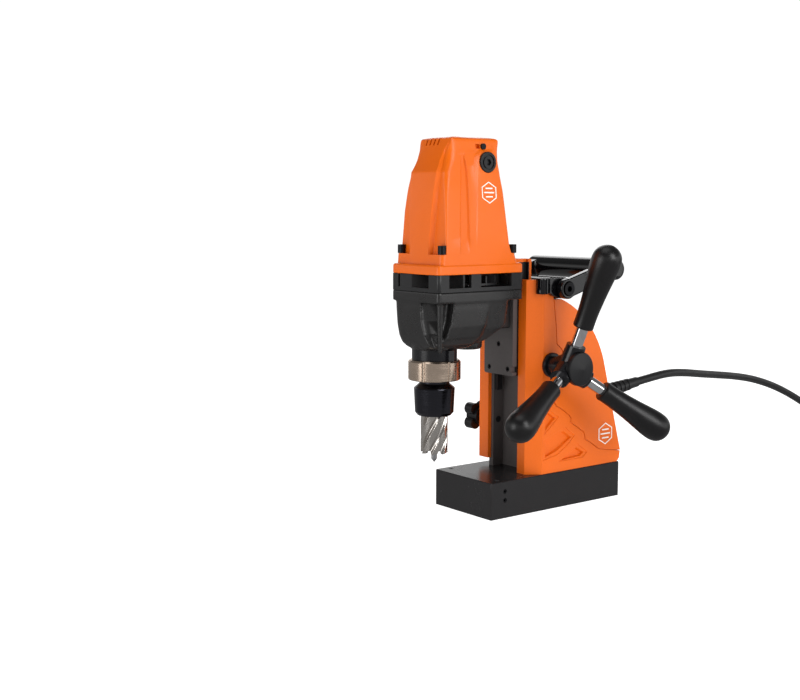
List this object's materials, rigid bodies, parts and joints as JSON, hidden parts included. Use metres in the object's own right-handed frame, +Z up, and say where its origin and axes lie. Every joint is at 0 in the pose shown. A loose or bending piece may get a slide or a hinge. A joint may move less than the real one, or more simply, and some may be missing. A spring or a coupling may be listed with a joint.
{
  "type": "magnetic drill press",
  "caption": "Portable magnet-foot drilling machine: upright slide stand with rack-fed gearbox and motor, core cutter, three-spoke feed lever, folding bow handle and mains lead",
  "frame": {"origin": "centre of the magnet foot's underside", "axes": "+Z up along the stand, -Y towards the cutter, +X towards the side with the feed lever; the lead leaves towards +Y"},
  "size_m": [0.169, 0.779, 0.334],
  "materials": {
    "foot_steel": "satin dark grey paint over steel",
    "coil_resin": "potted winding",
    "seal_resin": "flush resin ring",
    "black_steel": "blackened steel",
    "gib_steel": "blackened, oiled",
    "orange_cast": "powder-coated casting",
    "orange_plastic": "moulded, low gloss",
    "black_screws": "black oxide",
    "electronics": "potted module",
    "black_plastic": "moulded",
    "gloss_black": "moulded, glossy",
    "rocker_red": "translucent look",
    "button_green": "moulded",
    "button_red": "moulded",
    "bush_black": "blackened bush",
    "slide_steel": "ground",
    "gearbox_cast": "satin black die casting",
    "vent_plastic": "moulded",
    "plain_steel": "turned",
    "champagne_steel": "nickel plated",
    "cutter_steel": "ground and polished",
    "chuck_steel": "dark turned steel",
    "chrome_bar": "polished",
    "grip_plastic": "soft sheen",
    "winding": "laminated core with windings",
    "carbon": "pressed",
    "copper_bars": "turned bars",
    "fan_plastic": "moulded",
    "cord_rubber": "smooth rubber"
  },
  "bodies": {
    "stand": {"magnet_foot": "foot_steel", "magnet_coil": "coil_resin", "magnet_seal": "seal_resin", "foot_screws": "black_screws", "column": "black_steel", "gibs": "gib_steel", "stand_casting": "orange_cast", "right_cover": "orange_plastic", "left_cover": "orange_plastic", "cover_screws": "black_screws", "control_module": "electronics", "switch_panel": "black_plastic", "feed_collar": "bush_black", "feed_bush": "bush_black", "handle_bracket": "black_steel", "handle_bolts": "black_screws", "strain_relief": "cord_rubber", "power_cord": "cord_rubber", "cord_coil": "cord_rubber", "mains_plug": "cord_rubber"},
    "carriage": {"slide_block": "slide_steel", "carriage_plate": "black_steel", "plate_screws": "black_screws", "rack": "plain_steel", "slide_cap": "orange_cast", "gearbox_housing": "gearbox_cast", "bearing_plate": "plain_steel", "spindle_nose": "bush_black", "vent_ring": "vent_plastic", "motor_hood": "orange_plastic", "hood_screws": "black_screws", "brush_caps": "black_plastic", "carbon_brushes": "carbon", "stator": "winding", "armature_bearings": "plain_steel", "spindle_bearings": "plain_steel"},
    "armature": {"armature_shaft": "plain_steel", "armature_core": "winding", "commutator": "copper_bars", "cooling_fan": "fan_plastic"},
    "idler": {"idler_gear": "plain_steel"},
    "spindle": {"spindle": "plain_steel", "spindle_gear": "plain_steel", "chuck_body": "chuck_steel", "core_cutter": "cutter_steel"},
    "lock_ring": {"lock_ring": "champagne_steel"},
    "pilot": {"pilot_pin": "plain_steel", "pilot_spring": "plain_steel"},
    "feed_lever": {"feed_shaft": "plain_steel", "feed_hub": "bush_black", "hub_cap": "black_plastic", "spokes": "chrome_bar", "grip_1": "grip_plastic", "grip_2": "grip_plastic", "grip_3": "grip_plastic"},
    "handle": {"carry_handle": "gloss_black"},
    "knob": {"clamp_knob": "black_plastic"},
    "rocker": {"magnet_rocker": "rocker_red"},
    "start": {"start_button": "button_green"},
    "stop": {"stop_button": "button_red"}
  },
  "joints": [
    {"name": "carriage_slide", "type": "slide", "parent": "stand", "child": "carriage", "axis": [0, 0, 1], "range_m": [-0.084, 0.008]},
    {"name": "feed_turn", "type": "hinge", "parent": "stand", "child": "feed_lever", "pos_m": [0, -0.0095, 0.1325], "axis": [1, 0, 0], "range_deg": [-52, 536]},
    {"name": "armature_spin", "type": "hinge", "parent": "carriage", "child": "armature", "pos_m": [0, -0.077, 0.25], "axis": [0, 0, 1], "continuous": true},
    {"name": "idler_spin", "type": "hinge", "parent": "carriage", "child": "idler", "pos_m": [0.00433, -0.09612, 0.19], "axis": [0, 0, 1], "continuous": true},
    {"name": "spindle_spin", "type": "hinge", "parent": "carriage", "child": "spindle", "pos_m": [0, -0.114, 0.12], "axis": [0, 0, 1], "continuous": true},
    {"name": "lock_ring_turn", "type": "hinge", "parent": "spindle", "child": "lock_ring", "pos_m": [0, -0.114, 0.13], "axis": [0, 0, 1], "range_deg": [0, 30], "stiffness_Nm_per_rad": 0.4, "springref_deg": -11.46},
    {"name": "pilot_slide", "type": "slide", "parent": "spindle", "child": "pilot", "axis": [0, 0, 1], "range_m": [0, 0.009], "stiffness_N_per_m": 400, "springref_m": -0.002, "deforming": ["pilot_spring"]},
    {"name": "handle_fold", "type": "hinge", "parent": "stand", "child": "handle", "pos_m": [0, 0.0005, 0.2013], "axis": [1, 0, 0], "range_deg": [-46, 90]},
    {"name": "clamp_knob_turn", "type": "hinge", "parent": "stand", "child": "knob", "pos_m": [-0.05, -0.022, 0.0766], "axis": [1, 0, 0], "range_deg": [0, 720]},
    {"name": "magnet_rocker_tip", "type": "hinge", "parent": "stand", "child": "rocker", "pos_m": [-0.0355, 0.028, 0.12], "axis": [0, 1, 0], "range_deg": [-7, 7]},
    {"name": "start_press", "type": "slide", "parent": "stand", "child": "start", "axis": [1, 0, 0], "range_m": [0, 0.0016], "stiffness_N_per_m": 900, "springref_m": -0.0015},
    {"name": "stop_press", "type": "slide", "parent": "stand", "child": "stop", "axis": [1, 0, 0], "range_m": [0, 0.0016], "stiffness_N_per_m": 900, "springref_m": -0.0015}
  ],
  "couplings": [
    {"joint": "feed_turn", "follows": "carriage_slide", "rad_per_m": -111.11},
    {"joint": "idler_spin", "follows": "armature_spin", "ratio": -0.16667},
    {"joint": "spindle_spin", "follows": "armature_spin", "ratio": 0.052381}
  ]
}
